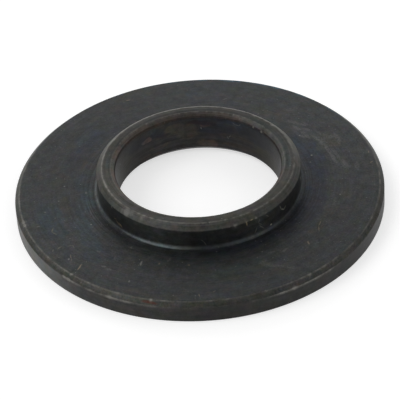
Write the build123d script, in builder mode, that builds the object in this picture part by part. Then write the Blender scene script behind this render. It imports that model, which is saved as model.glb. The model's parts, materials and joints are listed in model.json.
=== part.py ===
from build123d import *
import os

# Thrust washer, turned in one piece: a flat round flange with a raised collar round its bore.
# It lies on its thrust face. The origin is the middle of that face, and +Z is the axis of the
# bore, towards the collar. All sizes are in millimetres.

# Driving dimensions
shaft_diameter = 20.0
running_clearance = 0.1  # on the diameter, between the shaft and the bore
collar_wall = 2.35
collar_height = 3.25  # above the flange
flange_width = 10.1  # from the collar's wall out to the rim
flange_thickness = 2.65

# Edges
mouth_chamfer = 0.5  # at the collar's end of the bore
shoulder_chamfer = 0.8  # at the bore's other end, wide enough to clear a fillet on the shaft
collar_chamfer = 0.7
collar_root_radius = 0.4  # where the collar meets the flange, as a turning insert leaves it
rim_chamfer = 0.5
thrust_edge_break = 0.1  # only the burr is taken off, so the thrust face stays full

# Sizes that follow
bore_radius = (shaft_diameter + running_clearance) / 2
collar_radius = bore_radius + collar_wall
flange_radius = collar_radius + flange_width
overall_height = flange_thickness + collar_height

# Half of the stepped section is revolved about the bore's axis.
with BuildPart() as thrust_washer:
    with BuildSketch(Plane.XZ):
        with BuildLine():
            Polyline(
                (bore_radius, 0),
                (flange_radius, 0),
                (flange_radius, flange_thickness),
                (collar_radius, flange_thickness),
                (collar_radius, overall_height),
                (bore_radius, overall_height),
                close=True,
            )
        make_face()
    revolve(axis=Axis.Z)

    # The six turned corners: two at each of three heights, the smaller one first.
    corners = thrust_washer.edges().filter_by(GeomType.CIRCLE).group_by(Axis.Z)
    bore_foot, thrust_edge = corners[0].sort_by(SortBy.RADIUS)
    collar_root, rim_edge = corners[1].sort_by(SortBy.RADIUS)
    bore_mouth, collar_edge = corners[2].sort_by(SortBy.RADIUS)

    fillet(collar_root, collar_root_radius)
    chamfer(bore_foot, shoulder_chamfer)
    chamfer(bore_mouth, mouth_chamfer)
    chamfer(collar_edge, collar_chamfer)
    chamfer(rim_edge, rim_chamfer)
    chamfer(thrust_edge, thrust_edge_break)

thrust_washer.part.label = "thrust_washer"

os.makedirs("parts", exist_ok=True)
export_step(thrust_washer.part, "parts/thrust_washer.step")
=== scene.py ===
import json
import math

import bpy
import numpy as np
from mathutils import Matrix, Vector


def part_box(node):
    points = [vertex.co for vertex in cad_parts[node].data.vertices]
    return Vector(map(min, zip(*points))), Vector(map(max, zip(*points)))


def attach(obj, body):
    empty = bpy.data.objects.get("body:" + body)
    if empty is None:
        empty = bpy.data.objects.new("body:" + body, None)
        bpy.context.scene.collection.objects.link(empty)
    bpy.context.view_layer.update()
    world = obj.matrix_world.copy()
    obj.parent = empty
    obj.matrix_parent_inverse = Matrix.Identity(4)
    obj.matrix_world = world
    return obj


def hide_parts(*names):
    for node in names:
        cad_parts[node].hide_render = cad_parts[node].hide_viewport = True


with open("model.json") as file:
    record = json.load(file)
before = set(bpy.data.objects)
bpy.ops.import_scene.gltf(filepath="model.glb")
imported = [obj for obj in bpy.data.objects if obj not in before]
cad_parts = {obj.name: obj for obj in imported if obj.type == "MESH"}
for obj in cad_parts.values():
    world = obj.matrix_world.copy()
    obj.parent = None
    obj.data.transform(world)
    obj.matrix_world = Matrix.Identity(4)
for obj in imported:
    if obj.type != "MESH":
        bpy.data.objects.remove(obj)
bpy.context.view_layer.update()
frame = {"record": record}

# A thrust washer of blackened steel, as one turned surface that stands in for the plain solid, and
# a white studio round it.
#
# Sizes and places are in millimetres, angles on the washer in degrees anticlockwise from +X, seen
# from above. MM turns millimetres into metres.
MM = 0.001

# The turned section is read from the frame, apart from the edges that touch no mount.
mounts = {mount["name"]: mount for mount in frame["record"]["mounts"]}


def ends_of(mount):
    """The lower and upper end of a round mount on the bore's axis."""
    middle = mount["pos_m"][2] / MM
    half = mount["dims"]["length_mm"] / 2
    return middle - half, middle + half


_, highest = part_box("thrust_washer")
rim = highest.x / MM
top = highest.z / MM
shoulder = mounts["flange_shoulder"]["pos_m"][2] / MM
bore = mounts["shaft_bore"]["dims"]["r_mm"]
collar = mounts["collar_outside"]["dims"]["r_mm"]
foot_chamfer, mouth_line = ends_of(mounts["shaft_bore"])
root_line, collar_line = ends_of(mounts["collar_outside"])
mouth_chamfer = top - mouth_line
collar_chamfer = top - collar_line
root_radius = root_line - shoulder
rim_chamfer = 0.5
thrust_edge_break = 0.1

# The radius to which use has rounded a corner over
soft_edge = 0.2
worn_edge = 0.14
crisp_edge = 0.05
mouth_edge = 0.5

# The black oxide on each turned face, and in the fillet at the collar's root. Their levels also
# hold painted light and shade: the rim and the bore are darker, the chamfers paler, and the
# fillet paler and bluer as a painted reflection.
OXIDE_AND_PAINTED_LIGHT = {
    "thrust_face": (0.039, 0.040, 0.040),
    "edge_break": (0.034, 0.034, 0.034),
    "rim": (0.030, 0.030, 0.0285),
    "rim_chamfer": (0.049, 0.049, 0.044),
    "flange": (0.0345, 0.0366, 0.0377),
    "root": (0.053, 0.060, 0.062),
    "wall": (0.0475, 0.050, 0.049),
    "collar_chamfer": (0.0555, 0.055, 0.049),
    "land": (0.0448, 0.0437, 0.0389),
    "mouth_chamfer": (0.072, 0.061, 0.0535),
    "mouth": (0.040, 0.032, 0.029),
    "bore": (0.0222, 0.0213, 0.0212),
    "foot_chamfer": (0.034, 0.031, 0.029),
}
OXIDE_METALLIC = 0.75
# The pale of bare steel, used for worn edges and for painted highlights along them
BARE_STEEL_AND_HIGHLIGHT = (0.17, 0.165, 0.150)
RUST = (0.080, 0.030, 0.020)

# How that oxide pales and deepens round the washer, as angle and factor: mostly painted light
# and shade on each face, partly uneven oxide
PAINTED_LIGHT_AND_OXIDE_SHADES = {
    "rim": [
        (-150, 3.3), (-130, 1.26), (-110, 1.15), (-90, 0.78), (-70, 0.83), (-50, 0.87), (-30, 0.48),
        (90, 1.0),
    ],
    "rim_chamfer": [
        (-170, 1.06), (-150, 1.12), (-130, 0.87), (-110, 1.28), (-90, 1.0), (-45, 0.84), (-10, 0.8),
        (90, 1.0),
    ],
    "flange": [
        (-155, 1.10), (-90, 0.98), (-30, 0.96), (20, 1.2), (60, 1.12), (120, 0.95), (170, 0.95),
    ],
    "root": [
        (-170, 1.8), (-160, 1.3), (-150, 0.72), (-140, 0.75), (-130, 1.34), (-120, 1.9),
        (-110, 2.1), (-100, 1.05), (-90, 0.52), (-80, 0.66), (-70, 1.08), (-60, 1.2), (-50, 0.8),
        (-40, 0.5), (-30, 0.5), (-10, 1.33), (90, 1.0),
    ],
    "wall": [
        (-172, 2.0), (-160, 1.15), (-148, 0.9), (-135, 1.08), (-115, 1.6), (-95, 0.75), (-75, 0.76),
        (-55, 1.6), (-35, 0.78), (-20, 0.95), (-10, 1.55), (90, 1.0),
    ],
    "collar_chamfer": [
        (-170, 1.23), (-150, 1.13), (-130, 1.08), (-110, 1.15), (-90, 1.08), (-75, 1.2),
        (-40, 0.73), (-10, 1.2), (10, 1.7), (35, 2.75), (50, 3.1), (75, 1.95), (90, 1.6),
        (110, 1.65), (130, 2.1), (150, 2.3), (170, 1.3),
    ],
    "land": [
        (-150, 1.15), (-110, 1.0), (-70, 1.07), (-50, 1.02), (-10, 1.14), (10, 1.12), (40, 0.84),
        (110, 0.89), (170, 0.97),
    ],
    "mouth_chamfer": [
        (-90, 1.0), (-5, 1.9), (10, 1.45), (38, 1.0), (62, 0.66), (90, 0.98), (140, 0.98),
        (160, 1.8), (180, 2.6),
    ],
    "bore": [
        (30, 0.72), (40, 0.84), (60, 1.04), (90, 0.97), (112, 1.2), (140, 0.8), (152, 0.56),
        (-90, 1.0),
    ],
}

# Edges rubbed to bare steel, which also paints highlights along them: shares at angles round the
# edge, then single rubs as angle, width and strength
EDGE_WEAR_AND_HIGHLIGHTS = {
    "rim_top": (
        [
            (-180, 0.58), (-150, 0.6), (-140, 0.55), (-125, 0.47), (-115, 0.55), (-100, 0.46),
            (-80, 0.42), (-55, 0.5), (-40, 0.52), (-30, 0.45), (-12, 0.7), (10, 0.75), (30, 0.35),
            (60, 0.08), (120, 0.08), (150, 0.35),
        ],
        [
            (-176, 2.0, 0.3), (-172.5, 0.6, 0.3), (-166.5, 0.6, 1.6), (-164.7, 0.5, 1.4),
            (-158, 0.5, 0.4), (-146, 0.5, 0.3), (-135, 0.35, 0.6), (-117.5, 0.5, 0.3),
            (-107, 0.4, 0.8), (-103, 0.5, 0.3), (-83.5, 1.0, 0.2), (-71.5, 0.5, 0.2),
            (-63.5, 1.2, 0.2), (-56.6, 0.5, 0.4), (-4, 1.5, 0.3),
        ],
    ),
    "rim_side": (
        [
            (-139, 0.05), (-135, 0.8), (-130, 0.6), (-125, 0.65), (-120, 0.75), (-110, 0.72),
            (-105, 0.45), (-98, 0.22), (-78, 0.15), (-73, 0.35), (-68, 0.68), (-64, 0.75),
            (-55, 0.7), (-48, 0.5), (-43, 0.05), (90, 0.0),
        ],
        [
            (-137.2, 0.5, 0.7), (-135.3, 0.7, 1.0), (-133.5, 0.5, 0.7), (-120, 0.8, 0.4),
            (-114, 1.5, 0.25), (-66.8, 0.8, 0.2), (-63, 0.9, 0.3), (-56, 2.0, 0.2),
        ],
    ),
    "collar_side": (
        [(-180, 0.1), (-90, 0.05), (0, 0.1), (90, 0.3)],
        [
            (-75, 0.5, 0.4), (-71.5, 1.0, 0.7), (-65, 0.8, 0.5), (-58.7, 0.6, 0.7), (-52, 0.8, 0.5),
            (-126, 3, 0.2),
        ],
    ),
    "land_outer": (
        [
            (-180, 0.7), (-165, 0.9), (-148, 0.72), (-130, 0.6), (-90, 0.75), (-60, 0.68),
            (-20, 0.72), (10, 0.85), (35, 1.0), (55, 1.6), (80, 1.7), (120, 1.6), (140, 1.15),
        ],
        [
            (-163, 10.0, 0.4), (-129, 0.8, 0.4), (-85.5, 0.5, 0.6), (-76.3, 0.4, 0.5),
            (-66.5, 0.8, 0.3), (-33, 6.0, 0.2), (-21, 0.9, 0.5), (15, 4.0, 0.2), (36, 0.7, 0.9),
            (141, 7.0, 0.3),
        ],
    ),
    "land_inner": (
        [(-180, 0.45), (-130, 0.55), (-80, 0.3), (0, 0.25), (90, 0.5), (150, 0.5)],
        [(63, 0.5, 0.4), (82, 0.6, 0.3)],
    ),
    "mouth": (
        [(-180, 0.1), (0, 0.1), (40, 0.15), (120, 0.15)],
        [(37.4, 0.6, 2.2), (45.4, 0.6, 1.8), (112, 0.4, 0.4)],
    ),
}
WEAR_REACH = 0.135  # across an edge
WEAR_DEPTH = 0.03
WEAR_SHIFT = {"rim_side": -0.08}  # the middle of that line is a little below its corner

# Finer rubs that are scattered over each edge
FINE_RUBS = 30
FINE_RUB_WIDTH = 0.35
FINE_RUB_STRENGTHS = (0.05, 0.3)

# How strongly the turning marks show: on the land, on the other faces above the flange, on the
# flange, and how much more round the collar's root, as angle and strength. From the root they fade
# outwards over this distance.
MARKED_LAND, MARKED_WALLS, MARKED_FLANGE = 1.5, 0.5, 0.4
MARKED_ROOT = [
    (-175, 1.2), (-160, 2.6), (-135, 2.2), (-110, 1.0), (-70, 0.8), (-45, 2.2), (-15, 2.2),
    (20, 1.0), (160, 1.4),
]
MARKED_FADE = 1.3

# Dents: angle, radius, height, reach, depth. A dent is also rubbed half bare.
DENTS = [
    (-135.3, 22.5, 2.05, 0.32, 0.07),
    (-137.2, 22.5, 2.05, 0.25, 0.05),
    (-120.0, 22.5, 2.15, 0.35, 0.05),
    (-63.0, 22.5, 2.15, 0.35, 0.05),
    (-166.5, 22.0, 2.6, 0.3, 0.09),
    (-164.7, 22.0, 2.6, 0.25, 0.06),
    (-135.0, 22.0, 2.6, 0.2, 0.05),
    (-107.0, 22.1, 2.52, 0.18, 0.05),
    (-56.6, 22.0, 2.6, 0.25, 0.05),
    (-135.6, 12.05, 5.55, 0.35, 0.06),
    (-126.0, 12.0, 5.6, 0.25, 0.03),
    (-71.5, 12.4, 5.2, 0.3, 0.05),
    (-58.7, 12.4, 5.2, 0.2, 0.04),
    (36.0, 11.7, 5.9, 0.25, 0.06),
    (37.0, 10.05, 5.4, 0.2, 0.04),
]


def sharp_corners():
    """Half the section, anticlockwise from the bore's foot.

    Each corner has its name, radius, height and rounding, and the face that comes after it.
    """
    return [
        ("foot", bore + foot_chamfer, 0, crisp_edge, "thrust_face"),
        ("thrust_edge", rim - thrust_edge_break, 0, crisp_edge, "edge_break"),
        ("rim_foot", rim, thrust_edge_break, crisp_edge, "rim"),
        ("rim_side", rim, shoulder - rim_chamfer, worn_edge, "rim_chamfer"),
        ("rim_top", rim - rim_chamfer, shoulder, worn_edge, "flange"),
        ("root", collar, shoulder, root_radius, "wall"),
        ("collar_side", collar, top - collar_chamfer, worn_edge, "collar_chamfer"),
        ("land_outer", collar - collar_chamfer, top, soft_edge, "land"),
        ("land_inner", bore + mouth_chamfer, top, worn_edge, "mouth_chamfer"),
        ("mouth", bore, top - mouth_chamfer, mouth_edge, "bore"),
        ("bore_foot", bore, foot_chamfer, crisp_edge, "foot_chamfer"),
    ]


# How many steps the surface takes over each face and round the axis. The arc of a crisp corner
# takes 2 steps and any other arc 4.
FACE_STEPS = {
    "thrust_face": 3, "edge_break": 1, "rim": 7, "rim_chamfer": 4, "flange": 12, "wall": 6,
    "collar_chamfer": 5, "land": 6, "mouth_chamfer": 3, "bore": 7, "foot_chamfer": 3,
}
TURNS = 1070


def rounded_section(corners):
    """The closed line through the corners, each replaced by a tangent arc of its radius.

    A corner that turns by t with radius q has its arc between the points q tan(t/2) before and
    after it. Points on a straight face crowd towards its ends, as (1 - cos(pi k)) / 2. Returns
    for each point its place, outward normal, share of each kind of oxide and way along the line,
    and for each corner the way along the line to the middle of its arc.
    """
    kinds = dict(zip(OXIDE_AND_PAINTED_LIGHT, np.eye(len(OXIDE_AND_PAINTED_LIGHT))))
    ends = np.array([corner[1:3] for corner in corners], float)
    ways = np.roll(ends, -1, 0) - ends
    ways /= np.linalg.norm(ways, axis=1, keepdims=True)
    arcs = []
    for i, (name, _, _, radius, face) in enumerate(corners):
        before, after = ways[i - 1], ways[i]
        turn = math.atan2(before[0] * after[1] - before[1] * after[0], before @ after)
        side = math.copysign(radius, turn)
        out = np.array([before[1], -before[0]])
        centre = ends[i] - side * math.tan(turn / 2) * before - side * out
        share = np.linspace(0, 1, 3 if radius == crisp_edge else 5)[:, None]
        normal = out * np.cos(turn * share) + before * np.sin(turn * share)
        kind = kinds[corners[i - 1][4]] * (1 - share) + kinds[face] * share
        if name in kinds:  # an arc with an oxide of its own shows it between its ends; at the root that colour is a painted reflection
            kind += (kinds[name] - kind) * np.minimum(8 * share * (1 - share), 1)
        arcs.append((centre + side * normal, normal, kind))
    columns = []
    for i, (places, normals, kind) in enumerate(arcs):
        columns.append((places, normals, kind))
        steps = FACE_STEPS[corners[i][4]]
        share = (1 - np.cos(np.pi * np.arange(1, steps) / steps))[:, None] / 2
        begin, end = places[-1], arcs[(i + 1) % len(arcs)][0][0]
        same = np.ones((steps - 1, 1))
        columns.append((begin + share * (end - begin), same * normals[-1], same * kind[-1]))
    places, normals, kinds = (np.concatenate(column) for column in zip(*columns))
    steps = np.linalg.norm(np.diff(places, axis=0), axis=1)
    along = np.concatenate([[0], np.cumsum(steps)])
    middles = {}
    for corner, arc in zip(corners, arcs):
        middle = arc[0][len(arc[0]) // 2]
        middles[corner[0]] = along[np.argmin(np.linalg.norm(places - middle, axis=1))]
    return places, normals, kinds, along, middles


def read_round(table, angles):
    """The value at each angle, in straight lines between the table's entries, on past 180."""
    return np.interp(angles, *zip(*table), period=360)


def ripple(angles, dice):
    """Seamless unevenness round a circle, about 1 strong.

    It is the sum of cosines that go 8 to 89 times round, with random phases, over the root of
    half their number.
    """
    rounds = np.arange(8, 90)
    phases = dice.uniform(0, 2 * np.pi, len(rounds))
    waves = np.cos(np.radians(angles)[:, None] * rounds + phases)
    return waves.sum(1) / math.sqrt(len(rounds) / 2)


def edge_wear_and_highlights(angles, along, middles):
    """How bare each point is, 0 to about 1; this paleness also paints highlights along the edges.

    For each edge it is the edge's share at that angle times exp(-(distance / reach)^2), with the
    distance across the edge, and a rub adds its strength times exp(-(degrees / width)^2).
    """
    dice = np.random.default_rng(11)
    wear = np.zeros((len(angles), len(along)))
    for edge, (shares, rubs) in EDGE_WEAR_AND_HIGHLIGHTS.items():
        level = read_round(shares, angles) * np.clip(0.9 + 0.22 * ripple(angles, dice), 0, 2)
        fine_places = dice.uniform(-180, 180, FINE_RUBS)
        fine_strengths = dice.uniform(*FINE_RUB_STRENGTHS, FINE_RUBS)
        fine_widths = [FINE_RUB_WIDTH] * FINE_RUBS
        for angle, width, strength in rubs + list(zip(fine_places, fine_widths, fine_strengths)):
            apart = (angles - angle + 180) % 360 - 180
            level = level + strength * np.exp(-(apart / width) ** 2)
        middle = middles[edge] + WEAR_SHIFT.get(edge, 0)
        wear += level[:, None] * np.exp(-((along - middle) / WEAR_REACH) ** 2)
    return wear


def store(mesh, name, kind, values):
    """Stores one value for each vertex, under a name that a material can read."""
    field = mesh.attributes.new(name, kind, "POINT")
    slot = "vector" if kind == "FLOAT_VECTOR" else "value"
    field.data.foreach_set(slot, values.astype(np.float32).ravel())


def turned_mesh(name, points):
    """Quads over a closed section carried round the axis; points go by turn, then by section."""
    turns, places = points.shape[:2]
    i, j = np.meshgrid(np.arange(turns), np.arange(places), indexing="ij")
    i_next, j_next = (i + 1) % turns, (j + 1) % places
    quads = [(i, j), (i_next, j), (i_next, j_next), (i, j_next)]
    quads = np.stack([turn * places + place for turn, place in quads], -1)
    mesh = bpy.data.meshes.new(name)
    mesh.vertices.add(turns * places)
    mesh.loops.add(quads.size)
    mesh.polygons.add(turns * places)
    mesh.vertices.foreach_set("co", (points * MM).astype(np.float32).ravel())
    mesh.loops.foreach_set("vertex_index", quads.astype(np.int32).ravel())
    mesh.polygons.foreach_set("loop_start", np.arange(0, quads.size, 4, dtype=np.int32))
    mesh.update(calc_edges=True)
    mesh.validate()
    mesh.shade_smooth()
    return mesh


def on_ring(angle, r, z):
    """The point at an angle, radius and height."""
    return Vector((r * math.cos(math.radians(angle)), r * math.sin(math.radians(angle)), z))


def turned(section, angles):
    """The section's (r, z), carried round to each angle a as (r cos a, r sin a, z)."""
    ways = np.radians(angles)[:, None]
    r, z = section.T
    return np.stack([np.cos(ways) * r, np.sin(ways) * r, np.zeros_like(ways) + z], -1)


def washer():
    """The washer as one turned surface, with its edges worn and dented.

    Each point of the turned section goes in along its normal, by the wear times its depth and by
    each dent's depth times exp(-(distance / reach)^2).
    """
    places, normals, kinds, along, middles = rounded_section(sharp_corners())
    angles = np.arange(TURNS) * 360 / TURNS - 180
    points = turned(places, angles)
    wear = edge_wear_and_highlights(angles, along, middles)
    depth = WEAR_DEPTH * wear
    for angle, r, z, size, deep in DENTS:
        middle = on_ring(angle, r, z)
        bell = np.exp(-np.sum((points - middle) ** 2, -1) / size ** 2)
        depth = depth + deep * bell
        wear = wear + 0.5 * bell
    mesh = turned_mesh("washer", points - turned(normals, angles) * depth[..., None])

    # The oxide of each kind, times its painted light and shade at that angle, times the point's
    # share of that kind
    light_and_oxide_shades = np.array([read_round(PAINTED_LIGHT_AND_OXIDE_SHADES.get(kind, [(0, 1.0)]), angles) for kind in OXIDE_AND_PAINTED_LIGHT])
    oxide = np.einsum("ka,pk,kc->apc", light_and_oxide_shades, kinds, np.array(list(OXIDE_AND_PAINTED_LIGHT.values())))
    r, z = places.T
    outward = np.exp(-np.clip(r - collar - root_radius, 0, None) / MARKED_FADE)
    low = MARKED_FLANGE + outward * read_round(MARKED_ROOT, angles)[:, None]
    high = np.where(z > top - 0.3, MARKED_LAND, MARKED_WALLS)
    store(mesh, "oxide", "FLOAT_VECTOR", oxide)
    store(mesh, "wear", "FLOAT", wear)
    store(mesh, "along", "FLOAT", np.repeat(along[None], TURNS, 0))
    store(mesh, "marked", "FLOAT", np.where(z > shoulder + 0.05, high, low))
    piece = bpy.data.objects.new("washer", mesh)
    bpy.context.scene.collection.objects.link(piece)
    return piece


def maths(operation, reflected=False):
    """A method that puts a signal and another value, or the other way round, into a Math node."""
    def method(signal, other):
        first, second = (other, signal) if reflected else (signal, other)
        sockets = {"Value": first, "Value_001": second}
        return signal.finish.node("ShaderNodeMath", {"operation": operation}, sockets)
    return method


class Signal:
    """A shader socket that works in Python expressions; each operation adds its Math node."""

    def __init__(self, finish, socket):
        self.finish = finish
        self.socket = socket

    __add__ = maths("ADD")
    __radd__ = maths("ADD", reflected=True)
    __sub__ = maths("SUBTRACT")
    __rsub__ = maths("SUBTRACT", reflected=True)
    __mul__ = maths("MULTIPLY")
    __rmul__ = maths("MULTIPLY", reflected=True)
    __truediv__ = maths("DIVIDE")
    most = maths("MAXIMUM")
    least = maths("MINIMUM")
    bearing = maths("ARCTAN2")  # of a point, from its Y and X, in radians

    def size(self):
        """The value without its sign."""
        return self.finish.node("ShaderNodeMath", {"operation": "ABSOLUTE"}, {"Value": self})

    def between(self, none, whole, full=1.0):
        """0 up to the first value, `full` from the second on, and 3 t^2 - 2 t^3 of it in between.

        The first value may be the larger one. The step keeps its ends by itself: with clamp on,
        the renderer would add a node for each one, and so many overfill the shader's memory.
        """
        settings = {"interpolation_type": "SMOOTHSTEP", "clamp": False}
        sockets = {"Value": self, "From Min": none, "From Max": whole, "To Max": full}
        return self.finish.node("ShaderNodeMapRange", settings, sockets, "Result")

    def other(self, output):
        """Another output of the same node."""
        return Signal(self.finish, self.socket.node.outputs[output])


class Finish:
    """A material being put together. Every node in it comes from node()."""

    def __init__(self, name):
        self.material = bpy.data.materials.new(name)
        self.material.use_nodes = True
        self.tree = self.material.node_tree
        self.tree.nodes.clear()

    def node(self, kind, settings, sockets, output=None):
        """Adds a node, its settings first, then its sockets; returns the named or first output."""
        node = self.tree.nodes.new(kind)
        for name, value in settings.items():
            setattr(node, name, value)
        inputs = {socket.identifier: socket for socket in node.inputs}
        for name, value in sockets.items():
            if isinstance(value, Signal):
                self.tree.links.new(value.socket, inputs[name])
            else:
                inputs[name].default_value = value
        outputs = {socket.identifier: socket for socket in node.outputs}
        return Signal(self, outputs[output] if output else next(iter(outputs.values()), None))

    def attribute(self, name, output="Fac"):
        """A value that is stored in the mesh."""
        return self.node("ShaderNodeAttribute", {"attribute_name": name}, {}, output)

    def parts(self, vector):
        """The X of a vector or the red of a colour; other() gives the rest."""
        return self.node("ShaderNodeSeparateXYZ", {}, {"Vector": vector})

    def noise(self, place, scale, detail, output="Fac"):
        """Smooth noise between about 0.2 and 0.8, with features about 1 / scale across."""
        sockets = {"Vector": place, "Scale": scale, "Detail": detail}
        return self.node("ShaderNodeTexNoise", {"noise_dimensions": "3D"}, sockets, output)

    def wander(self, place, scale, detail):
        """Three smooth noises at once, each between about -0.3 and 0.3."""
        return self.vector("SUBTRACT", self.noise(place, scale, detail, "Color"), (0.5, 0.5, 0.5))

    def vector(self, operation, first, second=(0, 0, 0), third=None, output="Vector"):
        """One Vector Math node."""
        sockets = {"Vector": first, "Scale" if operation == "SCALE" else "Vector_001": second}
        if third is not None:
            sockets["Vector_002"] = third
        return self.node("ShaderNodeVectorMath", {"operation": operation}, sockets, output)

    def blend(self, share, first, second):
        """A colour that goes from the first to the second as share goes from 0 to 1.

        Colours are kept as vectors, because each change of kind would cost the shader memory.
        """
        sockets = {"Factor_Float": share, "A_Vector": first, "B_Vector": second}
        return self.node("ShaderNodeMix", {"data_type": "VECTOR"}, sockets, "Result_Vector")

    def oval(self, spread, middle, half, strength, core=0.5):
        """The strength inside an oval in (degrees, radius, height), 0 outside it.

        It is full up to the core's share of the half sizes, and gone just past them. A half size
        of 0 leaves that measure out, so that the oval goes on for ever that way.
        """
        weight = [1 / size if size else 0 for size in half]
        shift = [-place * share for place, share in zip(middle, weight)]
        local = self.vector("MULTIPLY_ADD", spread, weight, shift)
        return self.vector("LENGTH", local, output="Value").between(1.15, core, strength)

    def stain(self, colour, spread, tint, ovals, where, upright=False, core=0.5):
        """The colour times the tint inside the ovals, as far as `where` lets it show.

        The ovals lie in angle and radius, or in angle and height where they stand upright.
        """
        share = 0
        for angle, middle, half_angle, half, strength in ovals:
            middle = (angle, 0, middle) if upright else (angle, middle, 0)
            half = (half_angle, 0, half) if upright else (half_angle, half, 0)
            share = self.oval(spread, middle, half, strength, core).most(share)
        return self.blend(share * where, colour, self.vector("MULTIPLY", colour, tint))

    def stroke(self, place, begin, end, width, strength):
        """The strength along a thin straight fibre or scratch between two points, 0 beside it.

        A distance from its middle counts in full across it, and along it by width / (half length
        + width).
        """
        way, length = (end - begin).normalized(), (end - begin).length
        local = self.vector("SUBTRACT", place, (begin + end) / 2)
        depth = self.vector("DOT_PRODUCT", local, way, output="Value")
        stretch = self.vector("SCALE", way * (1 - width / (length / 2 + width)), depth)
        distance = self.vector("DISTANCE", local, stretch, output="Value")
        return distance.between(width * 1.1, width * 0.45, strength)

    def speck(self, place, middle, size, strength):
        """The strength in a small round speck, 0 outside it."""
        distance = self.vector("DISTANCE", place, middle, output="Value")
        return distance.between(size * 1.2, size * 0.4, strength)


# Tints and stains in the oxide, and on the flange round the collar some painted light and shade:
# lifts in front of it and darkening beside it. Each has a tint, by which the oxide's colour is
# multiplied, then ovals: on the flange and the land angle, radius, half angle, half width and
# strength, and in the bore the same with heights in place of radii. A half angle of 0 goes all
# the way round.
SLATE, NAVY_SHADE, VIOLET_AND_SHADE = (0.84, 1.03, 1.17), (0.75, 0.81, 0.95), (0.81, 0.81, 0.92)
FLANGE_TINTS = [
    # The first two ovals of this tint are painted light, lifting the collar's shade in front of it
    ((1.22, 1.26, 1.18), [
        (-112, 14.2, 24, 1.7, 1.0), (-88, 16.6, 10, 1.5, 0.6), (65, 13.8, 5, 0.4, 0.9),
        (50, 15.1, 7, 0.6, 0.8), (131, 14.5, 8, 0.4, 0.9), (124, 13.1, 6, 0.3, 0.9),
    ]),
    # The first two ovals of this tint are painted shade beside the collar
    (VIOLET_AND_SHADE, [
        (-16, 14.2, 46, 1.9, 1.0), (148, 16.2, 24, 1.3, 1.0), (-172, 15.8, 10, 0.6, 0.6),
        (-140, 15.4, 9, 0.8, 0.5), (86, 17.6, 7, 1.0, 0.7), (40, 18.6, 6, 0.9, 0.4),
        (-160, 16.9, 8, 0.5, 0.5), (-133, 17.0, 5, 1.2, 0.5),
    ]),
    # Painted shade close to the collar, tinted blue
    (NAVY_SHADE, [
        (-72, 13.4, 26, 1.0, 1.0), (17, 14.8, 22, 1.6, 0.95), (-30, 13.4, 14, 0.9, 0.6),
        (-20, 15.2, 14, 0.9, 0.45),
    ]),
    # Painted shade at the collar's foot in front
    ((0.80, 0.79, 0.78), [(-88, 13.0, 15, 0.5, 1.0), (-65, 13.9, 10, 0.4, 0.5)]),
    (SLATE, [
        (-172, 13.8, 12, 1.0, 1.0), (-160, 15.0, 13, 0.8, 0.8), (-150, 16.1, 12, 0.9, 1.0),
        (-142, 16.9, 9, 0.9, 0.9), (-136, 18.1, 6, 0.9, 0.7), (-163, 19.3, 14, 1.3, 0.9),
        (-166, 17.8, 10, 0.8, 0.9), (142, 17.0, 11, 1.5, 0.8), (175, 14.2, 12, 1.2, 0.8),
        (18, 15.6, 7, 0.5, 0.8), (28, 14.4, 5, 0.5, 0.8), (-10, 13.4, 7, 0.6, 0.8),
        (0, 14.8, 8, 0.5, 0.5), (88, 19.2, 5, 1.2, 0.6),
    ]),
    ((1.14, 1.16, 1.14), [
        (-172, 13.8, 12, 1.0, 0.8), (-154, 16.9, 11, 1.1, 0.8), (-62, 18.0, 6, 1.4, 0.7),
        (26, 17.0, 7, 0.9, 1.0), (25, 18.5, 5, 1.2, 0.6), (6, 18.1, 5, 0.6, 0.7),
        (35, 16.2, 7, 0.6, 0.9), (14, 17.2, 8, 0.5, 0.7), (58, 16.0, 10, 1.0, 0.7),
        (50, 18.5, 3, 0.8, 0.4), (90, 21.6, 0, 0.9, 0.5),
    ]),
    ((1.0, 1.55, 2.1), [(82, 22.1, 58, 0.28, 0.9)]),
    ((1.12, 1.02, 0.86), [
        (-172, 16.6, 8, 0.6, 0.9), (-61.5, 19.4, 4, 1.0, 0.7), (-66, 17.6, 3, 0.9, 0.7),
        (24, 18.4, 5, 1.5, 0.8), (58, 16.4, 8, 0.9, 0.8), (110, 21.0, 12, 1.0, 0.6),
        (121, 19.5, 5, 0.9, 0.5), (-35, 16.8, 6, 0.7, 0.9), (-24, 16.9, 5, 0.8, 0.8),
        (157, 15.1, 10, 0.5, 0.8), (172, 17.4, 8, 1.1, 0.6), (-5, 13.1, 3, 0.3, 0.9),
        (-152, 18.0, 7, 0.7, 0.7), (-122, 16.5, 4, 0.7, 0.6), (-12, 18.0, 6, 0.8, 0.6),
        (-108, 21.4, 14, 0.7, 0.5),
    ]),
    ((0.92, 1.08, 0.92), [
        (-84, 13.7, 6, 0.6, 0.9), (-78, 17.5, 16, 1.8, 0.5), (60, 20.6, 26, 1.0, 0.4),
    ]),
]
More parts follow.
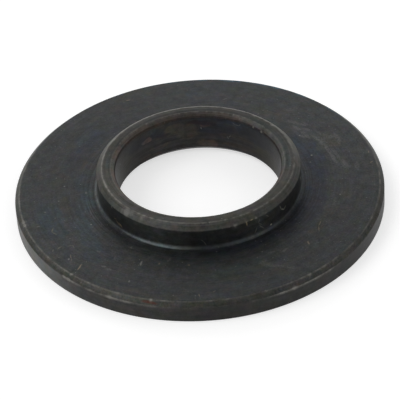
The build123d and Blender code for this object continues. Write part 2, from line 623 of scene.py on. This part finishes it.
# Turned grooves and ridges, told in the same way, as painted shade in the grooves and painted
# sheen on the ridges
FLANGE_LINES = [
    ((0.60, 0.57, 0.56), [
        (-154, 13.1, 20, 0.1, 0.9), (-158, 13.45, 20, 0.08, 0.8), (-157, 13.75, 16, 0.09, 0.8),
        (-153, 14.1, 16, 0.08, 0.6), (-30, 13.2, 22, 0.1, 0.7), (-27, 13.6, 20, 0.08, 0.6),
        (-24, 14.0, 14, 0.08, 0.4), (175, 13.5, 12, 0.08, 0.5), (172, 14.1, 10, 0.08, 0.4),
    ]),
    ((1.16, 1.22, 1.30), [
        (-160, 13.28, 20, 0.08, 0.8), (-162, 13.6, 16, 0.07, 0.7), (-160, 13.92, 16, 0.08, 0.7),
        (-28, 13.4, 20, 0.07, 0.7), (-25, 13.8, 18, 0.07, 0.6),
    ]),
]
LAND_LINES = [
    ((0.80, 0.80, 0.83), [(90, 10.87, 115, 0.24, 0.9), (-115, 10.95, 60, 0.12, 0.35)]),
    ((0.84, 0.84, 0.86), [(90, 11.35, 130, 0.05, 0.5), (-110, 11.25, 70, 0.05, 0.6)]),
    ((1.12, 1.12, 1.10), [(90, 11.2, 180, 0.12, 0.8)]),
]
BORE_STAINS = [
    ((0.74, 0.82, 1.02), [
        (42, 4.2, 22, 1.4, 1.0), (75, 3.7, 14, 0.9, 1.0), (76, 5.0, 20, 0.4, 1.0),
        (138, 4.0, 11, 0.75, 0.8), (119, 4.0, 7, 0.6, 1.0), (66, 4.0, 8, 0.5, 0.6),
    ]),
    ((1.10, 1.32, 1.42), [
        (62, 4.85, 8, 0.5, 1.0), (60, 4.1, 4, 0.3, 0.5), (70, 4.6, 6, 0.45, 0.5),
        (123, 4.6, 6, 0.45, 1.0), (54, 5.2, 7, 0.35, 0.9), (36, 4.8, 5, 0.5, 0.5),
    ]),
    ((0.84, 0.64, 0.74), [
        (87, 4.55, 9, 0.3, 1.0), (79, 4.3, 5, 0.35, 0.7), (116, 3.6, 5, 0.35, 0.5),
    ]),
    ((0.80, 0.77, 0.70), [(147, 1.7, 22, 1.5, 1.0)]),
    ((1.14, 1.12, 0.74), [(158, 3.0, 15, 2.0, 1.0), (29, 2.0, 17, 1.1, 1.0)]),
    ((0.84, 1.0, 1.06), [
        (180, 5.7, 13, 0.6, 1.0), (0, 5.7, 13, 0.6, 1.0), (25, 5.8, 35, 0.3, 0.8),
    ]),
    ((1.52, 1.42, 1.18), [
        (104, 4.15, 8, 0.6, 1.0), (109, 4.0, 5, 0.45, 1.0), (98, 3.6, 10, 0.7, 1.0),
        (95, 2.9, 9, 0.6, 1.0), (96, 2.4, 5, 0.35, 0.8),
    ]),
    ((0.74, 0.72, 0.78), [
        (110, 2.5, 8, 0.3, 0.9), (140, 3.6, 9, 0.4, 1.0), (115, 3.4, 6, 0.3, 0.8),
        (58, 2.25, 18, 0.16, 0.8), (91, 4.5, 5, 0.25, 0.9),
    ]),
    ((2.1, 1.5, 1.1), [
        (83.5, 4.1, 3.4, 0.26, 1.0), (94, 4.35, 3, 0.2, 0.4), (71, 2.95, 4, 0.16, 0.4),
    ]),
    ((1.42, 1.25, 1.10), [
        (116, 5.15, 4, 0.4, 1.0), (123, 5.25, 4, 0.3, 0.5), (118, 2.0, 10, 0.3, 0.9),
        (130, 1.35, 6, 0.35, 1.0), (57, 1.5, 14, 0.4, 1.0), (54, 2.78, 11, 0.28, 0.7),
        (145, 5.2, 14, 0.3, 0.5), (120, 1.2, 4, 0.25, 1.0),
    ]),
    ((2.1, 1.75, 1.45), [(82, 1.35, 8, 0.5, 1.0)]),
    ((2.9, 2.3, 1.9), [(127, 3.75, 4.2, 0.36, 1.0)]),
]

# Fibres and scuffs by colour. Those on the flange run from an angle and radius to an angle and
# radius, those in the bore and on the collar's wall from an angle and height to an angle and
# height. Then come width and strength.
PALE, TAN, GREY = (0.13, 0.13, 0.12), (0.14, 0.105, 0.065), (0.092, 0.092, 0.088)
OLIVE, DARK = (0.085, 0.080, 0.050), (0.012, 0.012, 0.012)
FLANGE_FIBRES = [
    (TAN, [
        (-134.9, 21.1, -135.9, 20.0, 0.12, 0.85), (113.8, 20.2, 115.0, 20.4, 0.12, 0.6),
        (-142.6, 19.75, -140.6, 20.1, 0.08, 0.5), (-140.6, 20.1, -139.6, 20.4, 0.08, 0.4),
        (-109.8, 15.6, -109.7, 15.8, 0.12, 0.5), (-96.9, 15.5, -96.5, 15.5, 0.12, 0.6),
        (5.4, 21.2, 6.3, 21.5, 0.11, 0.6), (11, 21.4, 12, 21.6, 0.11, 0.6),
        (-92.4, 20.75, -92.2, 21.1, 0.10, 0.5), (-45.8, 17.9, -44.8, 17.5, 0.10, 0.6),
        (-38.0, 17.4, -35.0, 16.8, 0.09, 0.35), (-35.0, 16.8, -31.8, 16.6, 0.09, 0.45),
        (-87.8, 20.5, -87.0, 20.3, 0.10, 0.3),
    ]),
    (OLIVE, [
        (-158.8, 19.0, -157.0, 19.4, 0.10, 0.7), (-157.0, 19.4, -154.6, 19.2, 0.10, 0.6),
        (-147.8, 20.45, -148.2, 19.8, 0.10, 0.6), (-148.6, 20.8, -147.4, 21.1, 0.09, 0.5),
        (-147.2, 19.2, -146.2, 18.5, 0.09, 0.4), (-146.2, 18.5, -144.6, 18.6, 0.10, 0.5),
    ]),
    (PALE, [
        (-117.0, 16.6, -117.2, 15.9, 0.14, 0.65), (-116.6, 19.8, -116.7, 19.5, 0.12, 0.5),
        (-162.2, 20.6, -162.1, 20.4, 0.12, 0.35), (76.3, 17.9, 77.6, 17.7, 0.09, 0.4),
        (-126.6, 14.4, -126.3, 14.1, 0.09, 0.35), (-179.6, 13.9, -178.2, 13.85, 0.13, 0.35),
    ]),
    (DARK, [(-128.9, 19.55, -128.5, 19.6, 0.12, 0.3), (27.2, 20.5, 28, 20.3, 0.13, 0.5)]),
]
FLANGE_SCUFFS = [
    (GREY, [
        (-129.8, 18.9, -128, 18.7, 0.2, 0.33), (-127.2, 18.9, -125.6, 18.7, 0.2, 0.39),
        (-128.6, 16.7, -127.6, 17.3, 0.2, 0.33), (-137.2, 17.1, -135.6, 17, 0.17, 0.33),
        (-106.5, 15, -105.6, 14.4, 0.18, 0.28), (-43.9, 18.3, -43.2, 18.5, 0.17, 0.33),
        (-67.5, 17.3, -64, 18.3, 0.38, 0.17), (-64.5, 18.2, -60.5, 19.3, 0.3, 0.18),
        (-61, 19.2, -58.3, 20, 0.38, 0.17), (-68.5, 17, -65.5, 17, 0.33, 0.19),
        (-57, 16.9, -54, 16.6, 0.21, 0.22), (-62, 15.9, -59, 16.1, 0.21, 0.19),
        (4, 18.15, 9, 18, 0.52, 0.3), (7, 17.3, 16, 16.95, 0.33, 0.33),
        (14, 16.95, 22, 17.05, 0.33, 0.36), (20, 17.05, 30, 16.7, 0.38, 0.36),
        (10, 17.8, 19, 17.4, 0.3, 0.22), (20, 17.5, 28, 17.25, 0.3, 0.25),
        (20, 18.8, 22.5, 19.1, 0.3, 0.28), (22.5, 19.1, 26, 19.2, 0.3, 0.28),
        (25, 19.2, 25.6, 17.9, 0.45, 0.25), (29, 16.1, 36, 16.15, 0.33, 0.36),
        (36, 16.15, 41, 16.3, 0.3, 0.33), (33, 17.2, 36, 16.8, 0.3, 0.28),
        (37.5, 17.5, 39.5, 17.3, 0.33, 0.28), (31, 15.7, 35, 15.3, 0.27, 0.28),
        (26, 18.2, 31, 17.6, 0.3, 0.25), (40, 17, 46, 16.6, 0.3, 0.22),
        (49, 18.7, 51, 18.3, 0.38, 0.22), (48, 19.4, 49, 19.3, 0.2, 0.28),
        (-20, 16.9, -15, 16.8, 0.22, 0.17), (2, 19.4, 7, 19.6, 0.3, 0.14),
    ]),
]
BORE_FIBRES = [
    (PALE, [
        (62.5, 5.05, 61, 4.8, 0.07, 0.35), (61, 4.8, 57.5, 4.85, 0.07, 0.35),
        (57.5, 4.85, 56.5, 5.05, 0.07, 0.3), (67.5, 2.75, 66.3, 2.3, 0.07, 0.3),
        (66.3, 2.6, 64.5, 2.9, 0.07, 0.3), (86.2, 3.85, 86.0, 3.6, 0.08, 0.6),
    ]),
    (DARK, [(161.5, 4.1, 160.2, 3.8, 0.12, 0.9)]),
]
WALL_FIBRES = [
    ((0.30, 0.24, 0.14), [
        (-145, 3.5, -141.5, 3.1, 0.09, 0.6), (-142.5, 3.5, -139.5, 3.0, 0.09, 0.6),
        (-147, 3.6, -144.5, 3.7, 0.08, 0.5), (-65, 5.2, -64.6, 4.6, 0.10, 0.7),
        (-62.5, 5.1, -60.5, 5.2, 0.09, 0.6),
    ]),
    ((0.33, 0.33, 0.27), [
        (-48.9, 3.12, -48.4, 3.08, 0.13, 1.0), (-58.5, 3.9, -59.9, 3.1, 0.08, 0.35),
        (-57.3, 4.1, -53.6, 3.05, 0.08, 0.38), (-56.5, 4.9, -57.5, 4.3, 0.08, 0.3),
        (-57.5, 4.3, -55.0, 3.9, 0.08, 0.28), (-41, 4.9, -39.8, 4.2, 0.09, 0.5),
        (-39.8, 4.2, -37.0, 3.8, 0.10, 0.6), (-37.0, 3.8, -35.6, 4.1, 0.10, 0.6),
        (-12.5, 4.7, -3, 2.95, 0.16, 0.5), (-52, 4.9, -50, 4.4, 0.08, 0.3),
        (-89.8, 3.7, -88.2, 3.1, 0.08, 0.2), (-91.0, 3.9, -89.8, 3.7, 0.08, 0.18),
        (-166, 5.2, -165, 4.9, 0.10, 0.5), (-149, 5.1, -148, 4.9, 0.09, 0.5),
    ]),
]

# Pale specks of dust, rubs on the collar's chamfer, and pits: angle, radius, height, size and
# strength
SPECKS = [
    (17.1, 14.7, shoulder, 0.14, 1.0), (-153.5, 14.75, shoulder, 0.13, 0.8),
    (-141.0, 20.4, shoulder, 0.13, 0.9), (175.7, 16.5, shoulder, 0.12, 0.7),
    (170.3, 17.7, shoulder, 0.11, 0.5), (-169.0, 19.1, shoulder, 0.12, 0.45),
    (-12.9, 17.3, shoulder, 0.12, 0.6), (33.6, 15.45, shoulder, 0.13, 0.8),
    (31.2, 19.5, shoulder, 0.11, 0.4), (12.0, 14.1, shoulder, 0.13, 0.5),
    (-83.4, 13.3, shoulder, 0.11, 0.4), (-174.5, 17.2, shoulder, 0.12, 0.5),
    (36, 11.7, 5.85, 0.25, 0.6), (-126.2, 14.3, shoulder, 0.11, 0.4), (-9.0, 11.2, top, 0.10, 0.6),
    (-78, 11.4, top, 0.10, 0.5), (-63.5, 15.4, shoulder, 0.12, 0.4),
]
RUBS = [
    (-136.4, 12.1, 5.56, 0.55, 0.7), (-133.6, 12.0, 5.62, 0.42, 0.45),
    (-139.5, 12.2, 5.45, 0.4, 0.25),
]
PITS = [(170.0, 20.77, shoulder, 0.15, 0.8), (-3.4, 10.8, top, 0.15, 0.9)]


def on_flange(angle, r):
    """A point on the flange's upper face."""
    return on_ring(angle, r, shoulder)


def on_wall(angle, z):
    """A point on the collar's outer wall."""
    return on_ring(angle, collar, z)


def in_bore(angle, z):
    """A point on the bore's wall."""
    return on_ring(angle, bore, z)


def blackened_steel():
    """Turned steel under thin black oxide: mottled, tinted, stained, rubbed pale at its edges, and
    with light and shade painted into it.

    The colour is the oxide's with its painted light and shade, scaled by a tone and shifted in hue
    by noise, times the tints, stains and painted light and shade round the collar, with rust, bare
    steel that also paints edge highlights, and dirt laid over it one after another.
    """
    steel = Finish("blackened_steel")

    # Where a point is: in mm, and as angle, radius and height
    place = steel.vector("SCALE", steel.node("ShaderNodeTexCoord", {}, {}, "Object"), 1 / MM)
    flat = steel.vector("MULTIPLY", place, (1, 1, 0))
    r = steel.vector("LENGTH", flat, output="Value")
    heading = steel.vector("NORMALIZE", flat)
    axes = steel.parts(place)
    height = axes.other("Z")
    degrees = axes.other("Y").bearing(axes) * (180 / math.pi)
    spread = steel.node("ShaderNodeCombineXYZ", {}, {"X": degrees, "Y": r, "Z": height})
    # The oxide's colour with its painted light and shade, and the wear that also paints edge
    # highlights
    oxide = steel.attribute("oxide", "Vector")
    wear = steel.attribute("wear")
    along = steel.attribute("along")

    def round_the_axis(length, closeness):
        """A place for noise that is drawn out round the axis into lines or streaks."""
        across = steel.node("ShaderNodeCombineXYZ", {}, {"Z": along * closeness})
        return steel.vector("MULTIPLY_ADD", heading, (length, length, length), across)

    # Grain, mottle and clouds, the turning marks, and shorter streaks beside them
    grain = steel.noise(place, 4.5, 3.0) - 0.5
    mottle = steel.noise(place, 1.3, 3.0) - 0.5
    cloud = steel.noise(place, 0.22, 2.0) - 0.5
    turning = steel.noise(round_the_axis(1.2, 5), 1.0, 2.0) - 0.5
    streaks = steel.wander(round_the_axis(11, 1.8), 1.0, 2.0)
    marked = steel.attribute("marked")
    on_level = r.between(collar, collar + root_radius)
    on_level = on_level * height.between(shoulder - 0.8, shoulder - 0.4)
    streaky = steel.parts(streaks) * 0.4

    # The grain shows more to the left and right of the flange than at its front and back
    sideways = (axes.size() / r).between(0.2, 0.9)
    grained = (sideways * 0.4 + 0.2) * on_level + 0.8
    tone = grain * grained + mottle + cloud * 0.35 + turning * marked + streaky + 1
    hue = steel.wander(place, 2.6, 3.0)
    drift = steel.wander(place, 0.7, 3.0)
    colour = steel.vector("SCALE", oxide, tone)
    fine_hue = steel.vector("SCALE", hue, on_level * 0.6 + 0.4)
    shift = steel.vector("MULTIPLY_ADD", fine_hue, (0.45, 0.28, 0.55), (1, 1, 1))
    shift = steel.vector("MULTIPLY_ADD", drift, (0.5, 0.2, 0.6), shift)
    shift = steel.vector("MULTIPLY_ADD", streaks, (0.3, 0.2, 0.4), shift)
    shift = steel.vector("ADD", shift, steel.vector("SCALE", (-0.1, 0.0, 0.15), turning * marked))
    colour = steel.vector("MULTIPLY", colour, shift)

    # Tints, stains and painted light and shade with uneven outlines, and turned grooves and ridges
    # with even ones
    ragged = steel.vector("MULTIPLY_ADD", drift, (18, 1.8, 1.4), spread)
    ragged = steel.vector("MULTIPLY_ADD", streaks, (8, 1.0, 0), ragged)
    inside = r.between(11.3, 11.1)  # the bore and the inner half of the land
    on_land = height.between(top - 0.45, top - 0.25)
    for tint, ovals in FLANGE_TINTS:
        colour = steel.stain(colour, ragged, tint, ovals, on_level)
    for tint, ovals in FLANGE_LINES:
        colour = steel.stain(colour, spread, tint, ovals, (turning * 3 + 0.9).least(1))
    for tint, ovals in LAND_LINES:
        colour = steel.stain(colour, spread, tint, ovals, on_land)
    blotted = steel.vector("MULTIPLY_ADD", drift, (9, 0, 0.8), spread)
    for tint, ovals in BORE_STAINS:
        colour = steel.stain(colour, blotted, tint, ovals, inside, upright=True, core=0.7)

    # One spot of rust on the rim's chamfer, and bare steel where the edges are worn, which also
    # paints highlights along them
    rusty = steel.vector("MULTIPLY_ADD", drift, (5, 0.2, 0.2), spread)
    rust = steel.oval(rusty, (-107.4, 22.27, 2.38), (2.8, 0.2, 0.2), 0.95) * (mottle * 2 + 0.8)
    colour = steel.blend(rust, colour, RUST)
    bare = (wear * (grain * 1.2 + 0.95)).between(0.0, 1.1)
    colour = steel.blend(bare, colour, BARE_STEEL_AND_HIGHLIGHT)

    # Fibres, slightly bent, and scuffs, broken up by the grain
    bent = steel.vector("MULTIPLY_ADD", drift, (0.5, 0.5, 0.0), place)
    bent_upright = steel.vector("MULTIPLY_ADD", drift, (0.1, 0.1, 0.4), place)
    dirt = 0
    feathery = (grain * 5 + streaky * 4 + 0.9).least(1.3)
    for kinds, spot, lie, cover in (
        (FLANGE_SCUFFS, on_flange, bent, feathery), (FLANGE_FIBRES, on_flange, bent, 1),
        (BORE_FIBRES, in_bore, bent_upright, 1), (WALL_FIBRES, on_wall, bent_upright, 1),
    ):
        for tint, fibres in kinds:
            share = 0
            for angle, begin, far_angle, end, width, strength in fibres:
                begin, end = spot(angle, begin), spot(far_angle, end)
                share = steel.stroke(lie, begin, end, width, strength).most(share)
            share = share * cover
            colour = steel.blend(share, colour, tint)
            dirt = share.most(dirt)

    # Dust on the faces that look up, coarse and fine, at random places and strengths; then the
    # single rubs, specks and pits
    dots = steel.node("ShaderNodeTexVoronoi", {}, {"Vector": place, "Scale": 1.6})
    chance = steel.parts(dots.other("Color"))
    lying = (on_level + on_land).least(1)
    share = dots.between(0.14, 0.05) * chance.between(0.35 - sideways * 0.2, 1.0) * lying * 0.65
    fine = steel.node("ShaderNodeTexVoronoi", {}, {"Vector": place, "Scale": 3.1})
    chance = steel.parts(fine.other("Color"))
    powder = fine.between(0.22, 0.08) * chance.between(0.5, 1.0) * lying * (sideways * 0.28 + 0.05)
    share = share.most(powder)
    for angle, middle, level, size, strength in RUBS:
        rub = steel.speck(bent, on_ring(angle, middle, level), size, strength)
        share = (rub * (grain * 1.5 + 1)).most(share)
    for angle, middle, level, size, strength in SPECKS:
        share = steel.speck(place, on_ring(angle, middle, level), size, strength).most(share)
    colour = steel.blend(share, colour, PALE)
    dirt = share.most(dirt)
    share = 0
    for angle, middle, level, size, strength in PITS:
        share = steel.speck(place, on_ring(angle, middle, level), size, strength).most(share)
    colour = steel.blend(share, colour, DARK)

    # A slightly rough skin of fine grain and shallow turning marks
    sockets = {"Strength": 0.35, "Distance": 0.02 * MM, "Height": grain * 0.6 + turning}
    bump = steel.node("ShaderNodeBump", {}, sockets)
    sockets = {
        "Base Color": colour,
        "Metallic": (1 - dirt) * OXIDE_METALLIC,
        "Roughness": grain * 0.2 + cloud * 0.15 + 0.5,
        "Normal": bump,
    }
    shader = steel.node("ShaderNodeBsdfPrincipled", {}, sockets, "BSDF")
    steel.node("ShaderNodeOutputMaterial", {}, {"Surface": shader})
    return steel.material


piece = washer()
piece.data.materials.append(blackened_steel())
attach(piece, "root")
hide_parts("thrust_washer")


# Studio: a white floor, a soft light tent and a long lens
def studio_floor():
    """A matt floor that shows white to the lens and in reflections, less the washer's shadow."""
    half, drop = 1.5, 0.02 * MM
    mesh = bpy.data.meshes.new("studio_floor")
    places = [(x * half, y * half, -drop) for x, y in ((-1, -1), (1, -1), (1, 1), (-1, 1))]
    mesh.from_pydata(places, [], [(0, 1, 2, 3)])
    floor = bpy.data.objects.new("studio_floor", mesh)
    bpy.context.scene.collection.objects.link(floor)
    paper = Finish("floor_paper")
    ray = paper.node("ShaderNodeLightPath", {}, {}, "Is Camera Ray")
    seen = ray.most(ray.other("Is Glossy Ray")).most(ray.other("Is Transmission Ray"))
    glow = paper.node("ShaderNodeEmission", {}, {"Strength": seen * 0.6})  # lifts it to white
    matt = paper.node("ShaderNodeBsdfDiffuse", {}, {"Color": (0.6, 0.6, 0.6, 1)})
    both = paper.node("ShaderNodeAddShader", {}, {"Shader": matt, "Shader_001": glow})
    paper.node("ShaderNodeOutputMaterial", {}, {"Surface": both})
    mesh.materials.append(paper.material)


def softbox(name, azimuth, elevation, width, height, level):
    """A soft lamp 1 m from the washer, with sides in metres and a face `level` times white."""
    lamp = bpy.data.lights.new(name, "AREA")
    lamp.shape = "RECTANGLE"
    lamp.size = width
    lamp.size_y = height
    lamp.energy = level * math.pi * width * height
    box = bpy.data.objects.new(name, lamp)
    bpy.context.scene.collection.objects.link(box)
    round_axis = Matrix.Rotation(math.radians(azimuth + 90), 4, "Z")
    tilt = Matrix.Rotation(math.radians(90 - elevation), 4, "X")
    box.matrix_world = round_axis @ tilt @ Matrix.Translation((0, 0, 1))


def studio_light():
    """An even pale tent, and soft lamps behind the washer and to its left and right."""
    world = bpy.data.worlds.new("studio")
    world.use_nodes = True
    tent = world.node_tree.nodes["Background"].inputs
    tent["Color"].default_value = (1, 1, 1, 1)
    tent["Strength"].default_value = 0.45
    bpy.context.scene.world = world
    softbox("back_softbox", 108, 27, 1.0, 0.6, 1.25)
    softbox("left_softbox", -168, 48, 0.6, 0.6, 2.4)
    softbox("right_softbox", 0, 38, 0.5, 0.5, 0.9)


def studio_camera():
    """A long lens that looks down at the middle of the thrust face, rolled a little clockwise."""
    elevation, lean = math.radians(38.03), math.radians(-3.69)
    distance = 287.38 * MM
    data = bpy.data.cameras.new("studio_camera")
    data.sensor_fit = "HORIZONTAL"
    data.sensor_width = 36
    data.lens = 211.23
    data.shift_x = -0.0007
    data.shift_y = 0.0024
    camera = bpy.data.objects.new("studio_camera", data)
    bpy.context.scene.collection.objects.link(camera)
    turn = Matrix.Rotation(math.radians(90) - elevation, 4, "X") @ Matrix.Rotation(lean, 4, "Z")
    camera.matrix_world = turn @ Matrix.Translation((0, 0, distance))
    bpy.context.scene.camera = camera


studio_floor()
studio_light()
studio_camera()
bpy.context.scene.view_settings.view_transform = "Standard"
